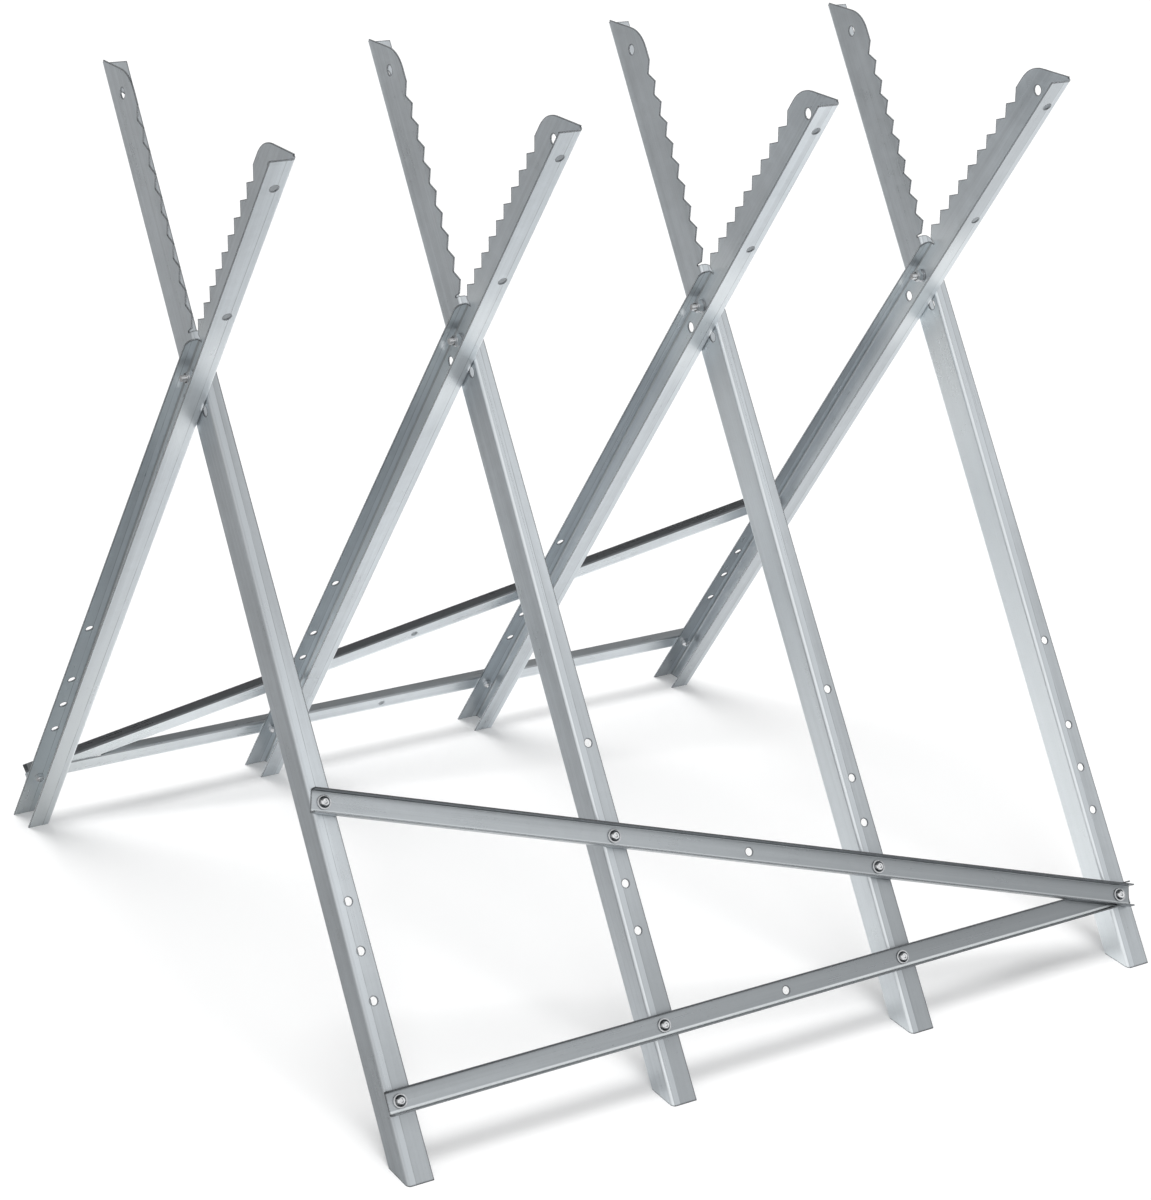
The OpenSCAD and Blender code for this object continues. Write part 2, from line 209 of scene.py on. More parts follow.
class SawStandSheet(bpy.types.PropertyGroup):
    """Finish of the folded sheet steel."""

    arm_light: FloatVectorProperty(
        name="Arm light tone", description="Zinc colour of the arms where it is brightest",
        default=(0.745, 0.793, 0.83, 1), **COLOUR)
    arm_dark: FloatVectorProperty(
        name="Arm dark tone", description="Zinc colour of the arms where it is dullest",
        default=(0.494, 0.526, 0.55, 1), **COLOUR)
    # The front braces' zinc is set darker than the arms' as painted shade in their channels
    front_brace_shaded_light: FloatVectorProperty(
        name="Front brace light tone", description="Zinc colour of the front braces where it is brightest",
        default=(0.585, 0.622, 0.648, 1), **COLOUR)
    front_brace_shaded_dark: FloatVectorProperty(
        name="Front brace dark tone", description="Zinc colour of the front braces where it is dullest",
        default=(0.39, 0.415, 0.435, 1), **COLOUR)
    # The rear braces' zinc is set lighter than the arms' as a painted reflection of the pale floor
    rear_brace_highlit_light: FloatVectorProperty(
        name="Rear brace light tone", description="Zinc colour of the rear braces where it is brightest",
        default=(0.82, 0.865, 0.90, 1), **COLOUR)
    rear_brace_highlit_dark: FloatVectorProperty(
        name="Rear brace dark tone", description="Zinc colour of the rear braces where it is dullest",
        default=(0.60, 0.64, 0.667, 1), **COLOUR)
    # Painted shade: the zinc goes towards this tone along the stand and in parts of it
    shade_tone: FloatVectorProperty(
        name="Dull tone", description="Colour towards which the dullest zinc goes",
        default=(0.195, 0.208, 0.219, 1), **COLOUR)
    # Dark rims, partly the sheared edge's own colour and partly painted shade along edges and hole rims
    edge_and_shade_tone: FloatVectorProperty(
        name="Cut edge tone", description="Colour of sheared edges and hole rims",
        default=(0.03, 0.032, 0.036, 1), **COLOUR)
    # Painted highlight on the outer bends of the arms
    bend_highlight_tone: FloatVectorProperty(
        name="Bend tone", description="Colour of the outer bends, where the zinc is rubbed bright",
        default=(0.93, 0.972, 1.0, 1), **COLOUR)
    # Painted highlight and painted reflection of the pale floor: on webs, the pivot band, low corners and
    # above the braces' lower folds
    highlight_tone: FloatVectorProperty(
        name="Clean tone", description="Colour towards which the cleanest zinc goes",
        default=(0.935, 0.982, 1.0, 1), **COLOUR)
    # The specks are the zinc's own; the inner bends and the braces' upper folds take this tone as painted
    # shade
    line_and_shade_tone: FloatVectorProperty(
        name="Line tone", description="Colour of the flange lines, dull folds and specks",
        default=(0.09, 0.094, 0.10, 1), **COLOUR)
    edge_width: FloatProperty(
        name="Cut edge width", description="How far the dull rim reaches in from an edge",
        unit="LENGTH", min=0.0001, max=0.003, precision=4, default=0.002)
    line_distance: FloatProperty(
        name="Flange line distance",
        description="Distance of the faint line on each flange from where a frame's two arms meet",
        unit="LENGTH", min=0.004, max=0.02, precision=4, default=0.008)
    # Width of the painted shade and painted highlight along a brace's folds
    fold_reach: FloatProperty(
        name="Fold reach", description="Width of the marks that folding leaves along a brace",
        unit="LENGTH", min=0.0005, max=0.006, precision=4, default=0.0017)
    arm_lean: FloatProperty(
        name="Arm lean", description="Lean of the arms, which the rolling lines follow",
        subtype="ANGLE", min=0, max=math.pi / 2, default=math.radians(34))
    brace_slope: FloatProperty(
        name="Upper brace slope", description="Slope of the upper braces in the plane of the legs",
        subtype="ANGLE", min=0, max=math.pi / 2, default=math.radians(18))


class SawStandFasteners(bpy.types.PropertyGroup):
    """Shape and finish of the bolts, washers and lock nuts."""

    zinc_light: FloatVectorProperty(
        name="Plating light tone", description="Zinc plating of the washers where it is brightest",
        default=(0.72, 0.735, 0.75, 1), **COLOUR)
    zinc_dark: FloatVectorProperty(
        name="Plating dark tone",
        description="Plating of the washers where it is dullest and of the domes where it is brightest",
        default=(0.46, 0.47, 0.485, 1), **COLOUR)
    bolt_light: FloatVectorProperty(
        name="Bolt light tone", description="Plating of the bolts and nuts where it is brightest",
        default=(0.90, 0.91, 0.92, 1), **COLOUR)
    bolt_dark: FloatVectorProperty(
        name="Bolt dark tone", description="Plating of the bolts and nuts where it is dullest",
        default=(0.58, 0.59, 0.605, 1), **COLOUR)
    # Painted shade towards the rims of the round heads' domes
    dome_shade_tone: FloatVectorProperty(
        name="Dome tone", description="Plating of the round heads' domes where it is dullest",
        default=(0.10, 0.103, 0.108, 1), **COLOUR)
    nylon_tone: FloatVectorProperty(
        name="Insert tone", description="Colour of the lock nuts' nylon rings",
        default=(0.055, 0.058, 0.064, 1), **COLOUR)
    thread_pitch: FloatProperty(
        name="Thread pitch", description="Rise of the thread in one turn, as a share of the bolt's diameter",
        subtype="FACTOR", min=0.1, max=0.25, default=1 / 6)
    thread_depth: FloatProperty(
        name="Thread depth", description="Depth of the thread's groove, as a share of the pitch",
        subtype="FACTOR", min=0.3, max=0.65, default=0.52)
    collar_height: FloatProperty(
        name="Collar height", description="Height of the crimped collar on the lock nuts",
        unit="LENGTH", min=0.0008, max=0.003, precision=4, default=0.0014)
    collar_inset: FloatProperty(
        name="Collar inset", description="How far a collar stands in from the nut's flats",
        unit="LENGTH", min=0.0004, max=0.0008, precision=4, default=0.00055)
    socket_width: FloatProperty(
        name="Socket width", description="Width across flats of the round heads' sockets",
        unit="LENGTH", min=0.002, max=0.0034, precision=4, default=0.003)
    socket_depth: FloatProperty(
        name="Socket depth", description="Depth of the round heads' sockets",
        unit="LENGTH", min=0.0008, max=0.0018, precision=4, default=0.0015)
    segments: IntProperty(
        name="Segments", description="Faces round each fastener; six must divide it",
        min=24, max=96, step=6, default=48)


class SawStandStudio(bpy.types.PropertyGroup):
    """Floor, light and camera."""

    floor_tone: FloatVectorProperty(
        name="Floor colour", description="Colour of the pale floor",
        default=(0.86, 0.86, 0.86, 1), **COLOUR)
    floor_lift: FloatProperty(
        name="Floor lift", description="Brightness that the floor adds where it is looked at",
        min=0, max=0.5, default=0.15)
    floor_fade: FloatVectorProperty(
        name="Floor fade", description="Direction in which the mirrored floor brightens",
        subtype="DIRECTION", size=3, default=(1.0, 0.25, 0.0))
    floor_bright: FloatProperty(
        name="Bright floor", description="Distance that way from which the mirrored floor is white",
        unit="LENGTH", min=-5, max=5, default=-0.13)
    floor_dim: FloatProperty(
        name="Dim floor", description="Distance that way below which the mirrored floor is dim",
        unit="LENGTH", min=-5, max=5, default=-0.41)
    fill: FloatProperty(
        name="Fill light", description="Brightness of the room's even light",
        min=0, max=2, default=0.55)
    key_strength: FloatProperty(
        name="Key strength", description="Strength of the main lamp",
        min=0, max=10, default=1.75)
    key_softness: FloatProperty(
        name="Key softness", description="Width of the main lamp as seen from the floor",
        subtype="ANGLE", min=0, max=math.pi / 2, default=math.radians(30))
    key_heading: FloatVectorProperty(
        name="Key heading", description="Direction in which the main lamp shines",
        subtype="DIRECTION", size=3, default=(0.12, 0.10, -0.98))
    shade_side: FloatProperty(
        name="Shaded side", description="Brightness of the mirrored room on its shaded side",
        min=0, max=1, default=0.37)
    ceiling: FloatProperty(
        name="Ceiling", description="Brightness of the mirrored ceiling",
        min=0, max=1, default=0.16)
    camera_place: FloatVectorProperty(
        name="Camera place", description="Where the camera stands",
        subtype="TRANSLATION", size=3, unit="LENGTH", default=(-1.3286, -2.0762, 1.2834))
    camera_azimuth: FloatProperty(
        name="Camera azimuth", description="Turn of the camera from straight ahead",
        subtype="ANGLE", default=math.radians(33.288))
    camera_elevation: FloatProperty(
        name="Camera elevation", description="How far the camera looks down",
        subtype="ANGLE", default=math.radians(21.863))
    camera_roll: FloatProperty(
        name="Camera roll", description="Tilt of the camera about its own line of sight",
        subtype="ANGLE", default=math.radians(2.652))
    lens: FloatProperty(
        name="Lens", description="Focal length on a 36 mm sensor, in millimetres",
        min=10, max=300, default=88.784)
    shift: FloatVectorProperty(
        name="Lens shift", description="Shift of the picture's middle",
        size=2, default=(-0.02609, -0.0038))


# Shader building


def put(tree, kind, inputs=None, **settings):
    """Adds a node; inputs maps socket names or numbers to values or to sockets to link from."""
    node = tree.nodes.new(kind)
    for key, value in settings.items():
        setattr(node, key, value)
    for key, value in (inputs or {}).items():
        if isinstance(value, bpy.types.NodeSocket):
            tree.links.new(value, node.inputs[key])
        else:
            node.inputs[key].default_value = value
    return node


def calc(tree, operation, *values):
    """Result of a math node on numbers or sockets."""
    return put(tree, "ShaderNodeMath", dict(enumerate(values)), operation=operation).outputs[0]


def dot(tree, first, second):
    """How far one direction goes along another."""
    return put(tree, "ShaderNodeVectorMath", {0: first, 1: second}, operation="DOT_PRODUCT").outputs["Value"]


def spread(tree, value, low, high, to_low=0.0, to_high=1.0):
    """Stretches a value's range smoothly; the limits may also fall."""
    node = put(tree, "ShaderNodeMapRange", {
        "Value": value, "From Min": low, "From Max": high, "To Min": to_low, "To Max": to_high},
        interpolation_type="SMOOTHSTEP")
    return node.outputs["Result"]


def ramp(tree, share, first, last):
    """Goes from a first value to a last one as a share goes from 0 to 1."""
    return calc(tree, "ADD", calc(tree, "MULTIPLY", share, last - first), first)


def sums(tree, *terms):
    """Weighted sum of (value, weight) pairs."""
    weighted = [calc(tree, "MULTIPLY", value, weight) for value, weight in terms]
    return functools.reduce(lambda total, term: calc(tree, "ADD", total, term), weighted)


def blend_colour(tree, share, first, second):
    """Mixes two colours by a share that varies over the surface."""
    return put(tree, "ShaderNodeMix", {"Factor": share, 6: first, 7: second}, data_type="RGBA").outputs[2]


def coordinate(tree, kind):
    """X, Y and Z of a point's place on the piece (Object) or of its facing (Normal)."""
    vector = put(tree, "ShaderNodeTexCoord").outputs[kind]
    return put(tree, "ShaderNodeSeparateXYZ", {0: vector}).outputs


def turned_place(tree, turn):
    """A point's place on the piece, turned so that the piece's length lies along Z."""
    place = put(tree, "ShaderNodeTexCoord").outputs["Object"]
    return put(tree, "ShaderNodeMapping", {"Vector": place, "Rotation": turn}).outputs[0]


def stretched_noise(tree, vector, stretch, detail, roughness=0.55):
    """Noise whose grain has its own size along each axis."""
    scaled = put(tree, "ShaderNodeVectorMath", {0: vector, 1: stretch}, operation="MULTIPLY")
    noise = put(tree, "ShaderNodeTexNoise", {
        "Vector": scaled.outputs[0], "Scale": 1.0, "Detail": detail, "Roughness": roughness})
    return noise.outputs["Fac"]


# Shared effects


def node_group(name, inputs, outputs):
    """Makes a function that fills a node group into one that places the group, built once, in a material."""
    def decorate(fill):
        @functools.wraps(fill)
        def place(tree, values=None):
            group = bpy.data.node_groups.get(name)
            if group is None:
                group = bpy.data.node_groups.new(name, "ShaderNodeTree")
                for label, default in inputs.items():
                    kind = "NodeSocketVector" if isinstance(default, tuple) else "NodeSocketFloat"
                    socket = group.interface.new_socket(label, in_out="INPUT", socket_type=kind)
                    socket.default_value = default
                for label in outputs:
                    group.interface.new_socket(label, in_out="OUTPUT", socket_type="NodeSocketFloat")
                given = group.nodes.new("NodeGroupInput").outputs
                leave = group.nodes.new("NodeGroupOutput")
                for label, result in zip(outputs, fill(group, given), strict=True):
                    group.links.new(result, leave.inputs[label])
            return put(tree, "ShaderNodeGroup", values, node_tree=group).outputs
        return place
    return decorate


@node_group("Rolled grain", {"Turn": (0, 0, 0)}, ("Hairline", "Streak", "Band"))
def rolled_grain(tree, given):
    """Lines that rolling leaves along a sheet: fine hairlines, streaks and broad bands."""
    length = turned_place(tree, given["Turn"])
    noises = (
        stretched_noise(tree, length, (2600, 2600, 22), 3.0),
        stretched_noise(tree, length, (520, 520, 4.5), 4.0, 0.62),
        stretched_noise(tree, length, (95, 95, 2.2), 2.0))
    return [spread(tree, noise, 0.28, 0.72) for noise in noises]


@node_group("Zinc bloom", {"Flake density": 150.0, "Cloud density": 16.0}, ("Flake", "Cloud", "Speck"))
def zinc_bloom(tree, given):
    """Frosty zinc: faint crystal flakes, cloudy patches and fine specks."""
    place = put(tree, "ShaderNodeTexCoord").outputs["Object"]
    warp = put(tree, "ShaderNodeTexNoise", {"Vector": place, "Scale": 220.0, "Detail": 2.0})
    offset = put(tree, "ShaderNodeVectorMath", {
        0: warp.outputs["Color"], 1: (0.006, 0.006, 0.006)}, operation="MULTIPLY")
    moved = put(tree, "ShaderNodeVectorMath", {0: place, 1: offset.outputs[0]}, operation="ADD")
    cells = put(tree, "ShaderNodeTexVoronoi", {
        "Vector": moved.outputs[0], "Scale": given["Flake density"], "Smoothness": 0.35}, feature="SMOOTH_F1")
    flake = put(tree, "ShaderNodeSeparateColor", {0: cells.outputs["Color"]}).outputs[0]
    cloud = put(tree, "ShaderNodeTexNoise", {
        "Vector": place, "Scale": given["Cloud density"], "Detail": 4.0, "Roughness": 0.6})
    speck = put(tree, "ShaderNodeTexNoise", {"Vector": place, "Scale": 900.0, "Detail": 2.0})
    return (
        flake, spread(tree, cloud.outputs["Fac"], 0.3, 0.7), spread(tree, speck.outputs["Fac"], 0.60, 0.74))


@node_group("Cut edge", {"Width": 0.0006}, ("Edge",))
def cut_edge(tree, given):
    """Mask of sheared edges, found where the rounded normal leaves the face's own."""
    rounded = put(tree, "ShaderNodeBevel", {"Radius": given["Width"]}, samples=6).outputs[0]
    own = put(tree, "ShaderNodeNewGeometry").outputs["Normal"]
    return [spread(tree, dot(tree, rounded, own), 0.992, 0.88)]


@node_group("Flange line", {"Frame pitch": 0.25, "Distance": 0.008, "Width": 0.0005}, ("Line", "Strip"))
def flange_line(tree, given):
    """Faint line along each flange, at a distance from where a frame's arms meet, and the strip inside it."""
    half = calc(tree, "MULTIPLY", given["Frame pitch"], 0.5)
    moved = calc(tree, "SUBTRACT", coordinate(tree, "Object")["X"], half)
    away = calc(tree, "ABSOLUTE", calc(tree, "WRAP", moved, half, calc(tree, "MULTIPLY", half, -1.0)))
    past = calc(tree, "SUBTRACT", away, given["Distance"])
    share = calc(tree, "DIVIDE", calc(tree, "ABSOLUTE", past), given["Width"])
    place = put(tree, "ShaderNodeTexCoord").outputs["Object"]
    broken = spread(tree, stretched_noise(tree, place, (30, 30, 30), 3.0), 0.3, 0.6, 0.25, 1.0)
    line = calc(tree, "MULTIPLY", spread(tree, share, 1.0, 0.2), broken)
    beyond_web = spread(tree, away, 0.0018, 0.0036)
    inside_line = spread(tree, past, 0.0006, -0.0006)
    return line, calc(tree, "MULTIPLY", beyond_web, inside_line)


@node_group("Fold shade and highlight", {"Turn": (0, 0, 0), "Low": 0.0, "High": 0.02, "Reach": 0.002}, ("Upper", "Lower"))
def fold_shade_and_highlight(tree, given):
    """Painted shade along a brace's upper fold, and a painted highlight above its lower fold."""
    sideways = put(tree, "ShaderNodeSeparateXYZ", {0: turned_place(tree, given["Turn"])}).outputs["X"]
    down = calc(tree, "DIVIDE", calc(tree, "ADD", given["High"], sideways), given["Reach"])
    up = calc(tree, "DIVIDE", calc(tree, "ADD", sideways, given["Low"]), given["Reach"])
    rub = calc(tree, "MULTIPLY", spread(tree, up, -2.7, -2.0), spread(tree, up, -0.9, -1.3))
    return spread(tree, down, 1.1, 0.5), rub


@node_group("Arm bends", {}, ("Minus", "Plus"))
def arm_bends(tree, _):
    """Masks of the bends along an arm: those that turn towards -X and those that turn towards +X."""
    facing = coordinate(tree, "Normal")["X"]
    square = calc(tree, "MULTIPLY", facing, facing)
    bend = spread(tree, calc(tree, "MULTIPLY", square, calc(tree, "SUBTRACT", 1.0, square)), 0.04, 0.20)
    return [calc(tree, "MULTIPLY", bend, spread(tree, facing, 0.0, edge)) for edge in (-0.02, 0.02)]


@node_group("Web highlight", {"Top": 0.5, "Start": 0.0, "End": 0.4}, ("Highlight",))
def web_highlight(tree, given):
    """Mask of an arm's faces turned to -X below a height, growing from one place along the stand on, for a
    painted highlight.
    """
    place = coordinate(tree, "Object")
    depth = calc(tree, "SUBTRACT", given["Top"], place["Z"])
    web = spread(tree, coordinate(tree, "Normal")["X"], -0.4, -0.9)
    inside = calc(tree, "MULTIPLY", web, spread(tree, depth, 0.0, 0.03))
    return [calc(tree, "MULTIPLY", inside, spread(tree, place["X"], given["Start"], given["End"]))]


@node_group("Lengthwise fade", {"Start": -0.4, "End": 0.4}, ("Fade",))
def lengthwise_fade(tree, given):
    """Share of the way along the stand, over which painted shade and highlights change."""
    return [spread(tree, coordinate(tree, "Object")["X"], given["Start"], given["End"])]


@node_group(
    "Stand region", {"Along from": 0.0, "Along to": 0.4, "Up from": 0.3, "Up to": 0.1}, ("Under", "Over"))
def stand_region(tree, given):
    """Masks of the faces turned down and up in a part of the stand, growing along it and in height."""
    place = coordinate(tree, "Object")
    along = spread(tree, place["X"], given["Along from"], given["Along to"])
    region = calc(tree, "MULTIPLY", along, spread(tree, place["Z"], given["Up from"], given["Up to"]))
    facing = coordinate(tree, "Normal")["Z"]
    return [
        calc(tree, "MULTIPLY", region, spread(tree, facing, sign * 0.1, sign * 0.4)) for sign in (-1, 1)]


@node_group("Pivot band", {"Height": 0.4, "Reach": 0.08}, ("Band",))
def pivot_band(tree, given):
    """Mask of a level band around the pivots, for a painted highlight."""
    gap = calc(tree, "SUBTRACT", coordinate(tree, "Object")["Z"], given["Height"])
    nearness = calc(tree, "SUBTRACT", given["Reach"], calc(tree, "ABSOLUTE", gap))
    return [spread(tree, nearness, 0.0, 0.05)]


# How each sheet differs from plain zinc, mostly by painted highlights and painted shade
#
# Weights go from 0 to 1. A region grows from its first to its second place along the stand and up, on faces
# that are turned up (Over) or down (Under), and paints shade or a highlight there. An arm has painted
# highlights on its webs and outer bends, weaker in the first frame, painted shade in its inner bends, and a
# painted highlight band around the pivot. Fade is how much painted shade a sheet has at the near and the far
# end of the stand. A brace has painted shade on its upper fold, a painted highlight above its lower fold and
# a dark rim, partly the cut edge's own colour and partly painted shade.

Region = namedtuple("Region", "faces weight tone along up")
ArmFinish = namedtuple("ArmFinish", "web web_along outer inner first_bend bends fade band regions")
BraceFinish = namedtuple("BraceFinish", "light dark fold rub fade rim regions")

# Painted reflection of the pale floor on the down-turned faces of a low corner
HIGHLIGHT_CORNER = Region("Under", 0.95, "highlight_tone", along=(-0.12, -0.36), up=(0.42, 0.06))
# Arms: painted highlights on webs, outer bends and the pivot band; painted shade along the stand and in
# regions
ARM_FINISHES = {
    "front": ArmFinish(
        web=0.62, web_along=(-0.10, 0.40), outer="Minus", inner="Plus", first_bend=0.15, bends=0.8,
        fade=(0.0, 0.18), band=None, regions=(
            Region("Over", 0.30, "shade_tone", along=(-0.32, -0.12), up=(0.42, 0.28)),
            Region("Over", 0.42, "shade_tone", along=(0.36, 0.15), up=(0.20, 0.07)),
            Region("Over", 0.40, "shade_tone", along=(-0.16, -0.34), up=(0.26, 0.42)))),
    "rear": ArmFinish(
        web=0.90, web_along=(0.30, -0.40), outer="Plus", inner="Minus", first_bend=0.8, bends=0.8,
        fade=None, band=0.45, regions=(
            HIGHLIGHT_CORNER,
            Region("Under", 0.30, "shade_tone", along=(0.20, 0.38), up=(1.0, 0.7)))),
}
# Braces: painted shade on the upper fold and along the stand, a painted highlight above the lower fold
BRACE_FINISHES = {
    ("front", "lower"): BraceFinish(
        "front_brace_shaded_light", "front_brace_shaded_dark", fold=0.85, rub=0.75, fade=(0.22, 0.75), rim=0.9, regions=()),
    ("front", "upper"): BraceFinish(
        "front_brace_shaded_light", "front_brace_shaded_dark", fold=0.9, rub=0.3, fade=(0.0, 0.6), rim=0.9, regions=()),
    ("rear", "lower"): BraceFinish(
        "rear_brace_highlit_light", "rear_brace_highlit_dark", fold=0.6, rub=0.75, fade=None, rim=0.1, regions=(HIGHLIGHT_CORNER,)),
    ("rear", "upper"): BraceFinish(
        "rear_brace_highlit_light", "rear_brace_highlit_dark", fold=0.9, rub=0.75, fade=None, rim=0.1, regions=(HIGHLIGHT_CORNER,)),
}
PIVOT_BAND_REACH = 0.085
FLANGE_LINE_WIDTH = 0.0005
PLATED_EDGE = 0.0003


# Materials


def start_material(name):
    """A new material with its shader: (material, node tree, Principled BSDF)."""
    material = bpy.data.materials.new(name)
    material.use_nodes = True
    tree = material.node_tree
    return material, tree, tree.nodes["Principled BSDF"]


class SheetFinish:
    """A galvanised sheet's material while it is made up; its rolling lines run along one piece."""

    def __init__(self, name, light, dark, turn):
        self.settings = bpy.context.scene.saw_stand_sheet
        self.material, self.tree, self.shader = start_material(name)
        self.grain = rolled_grain(self.tree, {"Turn": turn})
        self.bloom = zinc_bloom(self.tree, {"Flake density": 130.0, "Cloud density": 14.0})
        tone = sums(
            self.tree, (self.grain["Band"], 0.34), (self.grain["Streak"], 0.24),
            (self.grain["Hairline"], 0.10), (self.bloom["Cloud"], 0.20), (self.bloom["Flake"], 0.12))
        self.zinc = blend_colour(self.tree, tone, getattr(self.settings, dark), getattr(self.settings, light))

    def tint(self, tone, mask, weight=None):
        """Takes the zinc towards one of the settings' tones where a mask is."""
        share = mask if weight is None else calc(self.tree, "MULTIPLY", mask, weight)
        self.zinc = blend_colour(self.tree, share, self.zinc, getattr(self.settings, tone))

    def tint_regions(self, regions):
        """Paints shade or a highlight in parts of the stand, by taking the zinc towards another tone."""
        for region in regions:
            limits = zip(("Along from", "Along to", "Up from", "Up to"), region.along + region.up)
            masks = stand_region(self.tree, dict(limits))
            self.tint(region.tone, masks[region.faces], region.weight)

    def shade_along(self, fade):
        """Paints shade on the zinc, by one weight at the near end of the stand and by another at the far end.
        """
        if fade:
            along = lengthwise_fade(self.tree, {"Start": cad_box[0].x, "End": cad_box[1].x})
            self.tint("shade_tone", ramp(self.tree, along["Fade"], *fade))

    def finish(self, rim, roughness):
        """Adds specks, cut edges, sheen and relief, and gives the material."""
        tree, grain, bloom, sockets = self.tree, self.grain, self.bloom, self.shader.inputs
        edge = cut_edge(tree, {"Width": self.settings.edge_width})["Edge"]
        self.tint("line_and_shade_tone", bloom["Speck"], 0.08)
        # Dark rims: partly the sheared edge's own colour, partly painted shade
        self.tint("edge_and_shade_tone", edge, rim)
        tree.links.new(self.zinc, sockets["Base Color"])
        matt = sums(
            tree, (grain["Streak"], 0.10), (bloom["Cloud"], 0.07), (bloom["Flake"], 0.04), (edge, 0.2))
        tree.links.new(calc(tree, "ADD", matt, roughness), sockets["Roughness"])
        relief = sums(tree, (grain["Hairline"], 0.35), (grain["Streak"], 0.45), (bloom["Flake"], 0.20))
        bump = put(tree, "ShaderNodeBump", {"Strength": 0.18, "Distance": 0.00012, "Height": relief})
        tree.links.new(bump.outputs[0], sockets["Normal"])
        sockets["Metallic"].default_value = 0.82
        return self.material


def arm_material(side):
    """Zinc of one side's arms: painted highlights on the webs and outer bends, painted shade in the inner
    bends, and lines along the flanges.
    """
    settings = bpy.context.scene.saw_stand_sheet
    finish = ARM_FINISHES[side]
    turn = (SIDE_LEAN[side] * settings.arm_lean, 0, 0)
    sheet = SheetFinish(f"Galvanised sheet, {side} arms", "arm_light", "arm_dark", turn)
    tree = sheet.tree
    sheet.shade_along(finish.fade)
    sheet.tint_regions(finish.regions)
    start, end = finish.web_along
    # Painted highlight on the faces turned to -X below the pivots
    web = web_highlight(tree, {"Top": PIVOT_LEVEL, "Start": start, "End": end})
    sheet.tint("highlight_tone", web["Highlight"], finish.web)
    # Painted highlight band around the pivots
    if finish.band:
        level = pivot_band(tree, {"Height": PIVOT_LEVEL, "Reach": PIVOT_BAND_REACH})
        sheet.tint("highlight_tone", level["Band"], finish.band)
    bends = arm_bends(tree)
    # Painted highlight on the outer bends, weaker in the first frame
    row = lengthwise_fade(tree, {"Start": FIRST_FRAME, "End": FIRST_FRAME + FRAME_PITCH})
    painted = ramp(tree, row["Fade"], finish.first_bend, finish.bends)
    sheet.tint("bend_highlight_tone", calc(tree, "MULTIPLY", bends[finish.outer], painted))
    # Painted shade in the inner bends
    sheet.tint("line_and_shade_tone", bends[finish.inner], 0.5)
    lines = flange_line(tree, {
        "Frame pitch": FRAME_PITCH, "Distance": settings.line_distance, "Width": FLANGE_LINE_WIDTH})
    # Painted highlight on the flange strip beside the bend
    sheet.tint("arm_light", lines["Strip"], 0.35)
    sheet.tint("line_and_shade_tone", lines["Line"], 0.40)
    return sheet.finish(rim=0.9, roughness=0.24)


def brace_material(side, row):
    """Zinc of one brace: painted shade on the upper fold and a painted highlight above the lower one."""
    settings = bpy.context.scene.saw_stand_sheet
    finish = BRACE_FINISHES[side, row]
    slope = SIDE_LEAN[side] * settings.brace_slope if row == "upper" else 0.0
    turn = (SIDE_LEAN[side] * settings.arm_lean, -math.pi / 2 - slope, 0)
    low, high = across_span(f"{side}_{row}_brace", turn)
    sheet = SheetFinish(f"Galvanised sheet, {side} {row} brace", finish.light, finish.dark, turn)
    folds = fold_shade_and_highlight(sheet.tree, {"Turn": turn, "Low": low, "High": high, "Reach": settings.fold_reach})
    # Painted shade along the upper fold
    sheet.tint("line_and_shade_tone", folds["Upper"], finish.fold)
    sheet.shade_along(finish.fade)
    # Painted highlight above the lower fold
    sheet.tint("highlight_tone", folds["Lower"], finish.rub)
    sheet.tint_regions(finish.regions)
    return sheet.finish(finish.rim, roughness=0.22)


def plating_material(name, light, dark, roughness):
    """Zinc plating of the bolts, washers and nuts, built once for each name."""
    if name in bpy.data.materials:
        return bpy.data.materials[name]
    material, tree, shader = start_material(name)
    bloom = zinc_bloom(tree, {"Flake density": 700.0, "Cloud density": 240.0})
    edge = cut_edge(tree, {"Width": PLATED_EDGE})["Edge"]
    tone = sums(tree, (bloom["Cloud"], 0.6), (bloom["Flake"], 0.25), (edge, 0.35))
    tree.links.new(blend_colour(tree, tone, dark, light), shader.inputs["Base Color"])
    matt = sums(tree, (bloom["Cloud"], 0.14), (bloom["Speck"], 0.10))
    tree.links.new(calc(tree, "ADD", matt, roughness), shader.inputs["Roughness"])
    bump = put(tree, "ShaderNodeBump", {"Strength": 0.12, "Distance": 0.00005, "Height": bloom["Cloud"]})
    tree.links.new(bump.outputs[0], shader.inputs["Normal"])
    shader.inputs["Metallic"].default_value = 1.0
    return material


def washer_plating():
    """Plating of the washers."""
    fasteners = bpy.context.scene.saw_stand_fasteners
    return plating_material("Zinc plating", fasteners.zinc_light, fasteners.zinc_dark, 0.20)


def bolt_plating():
    """Plating of the bolts and nuts."""
    fasteners = bpy.context.scene.saw_stand_fasteners
    return plating_material("Bright zinc plating", fasteners.bolt_light, fasteners.bolt_dark, 0.06)


def dome_rim_shade_plating():
    """Plating of the round heads towards their rims, darkened as painted shade."""
    fasteners = bpy.context.scene.saw_stand_fasteners
    return plating_material("Zinc plating with painted dome shade", fasteners.zinc_dark, fasteners.dome_shade_tone, 0.08)


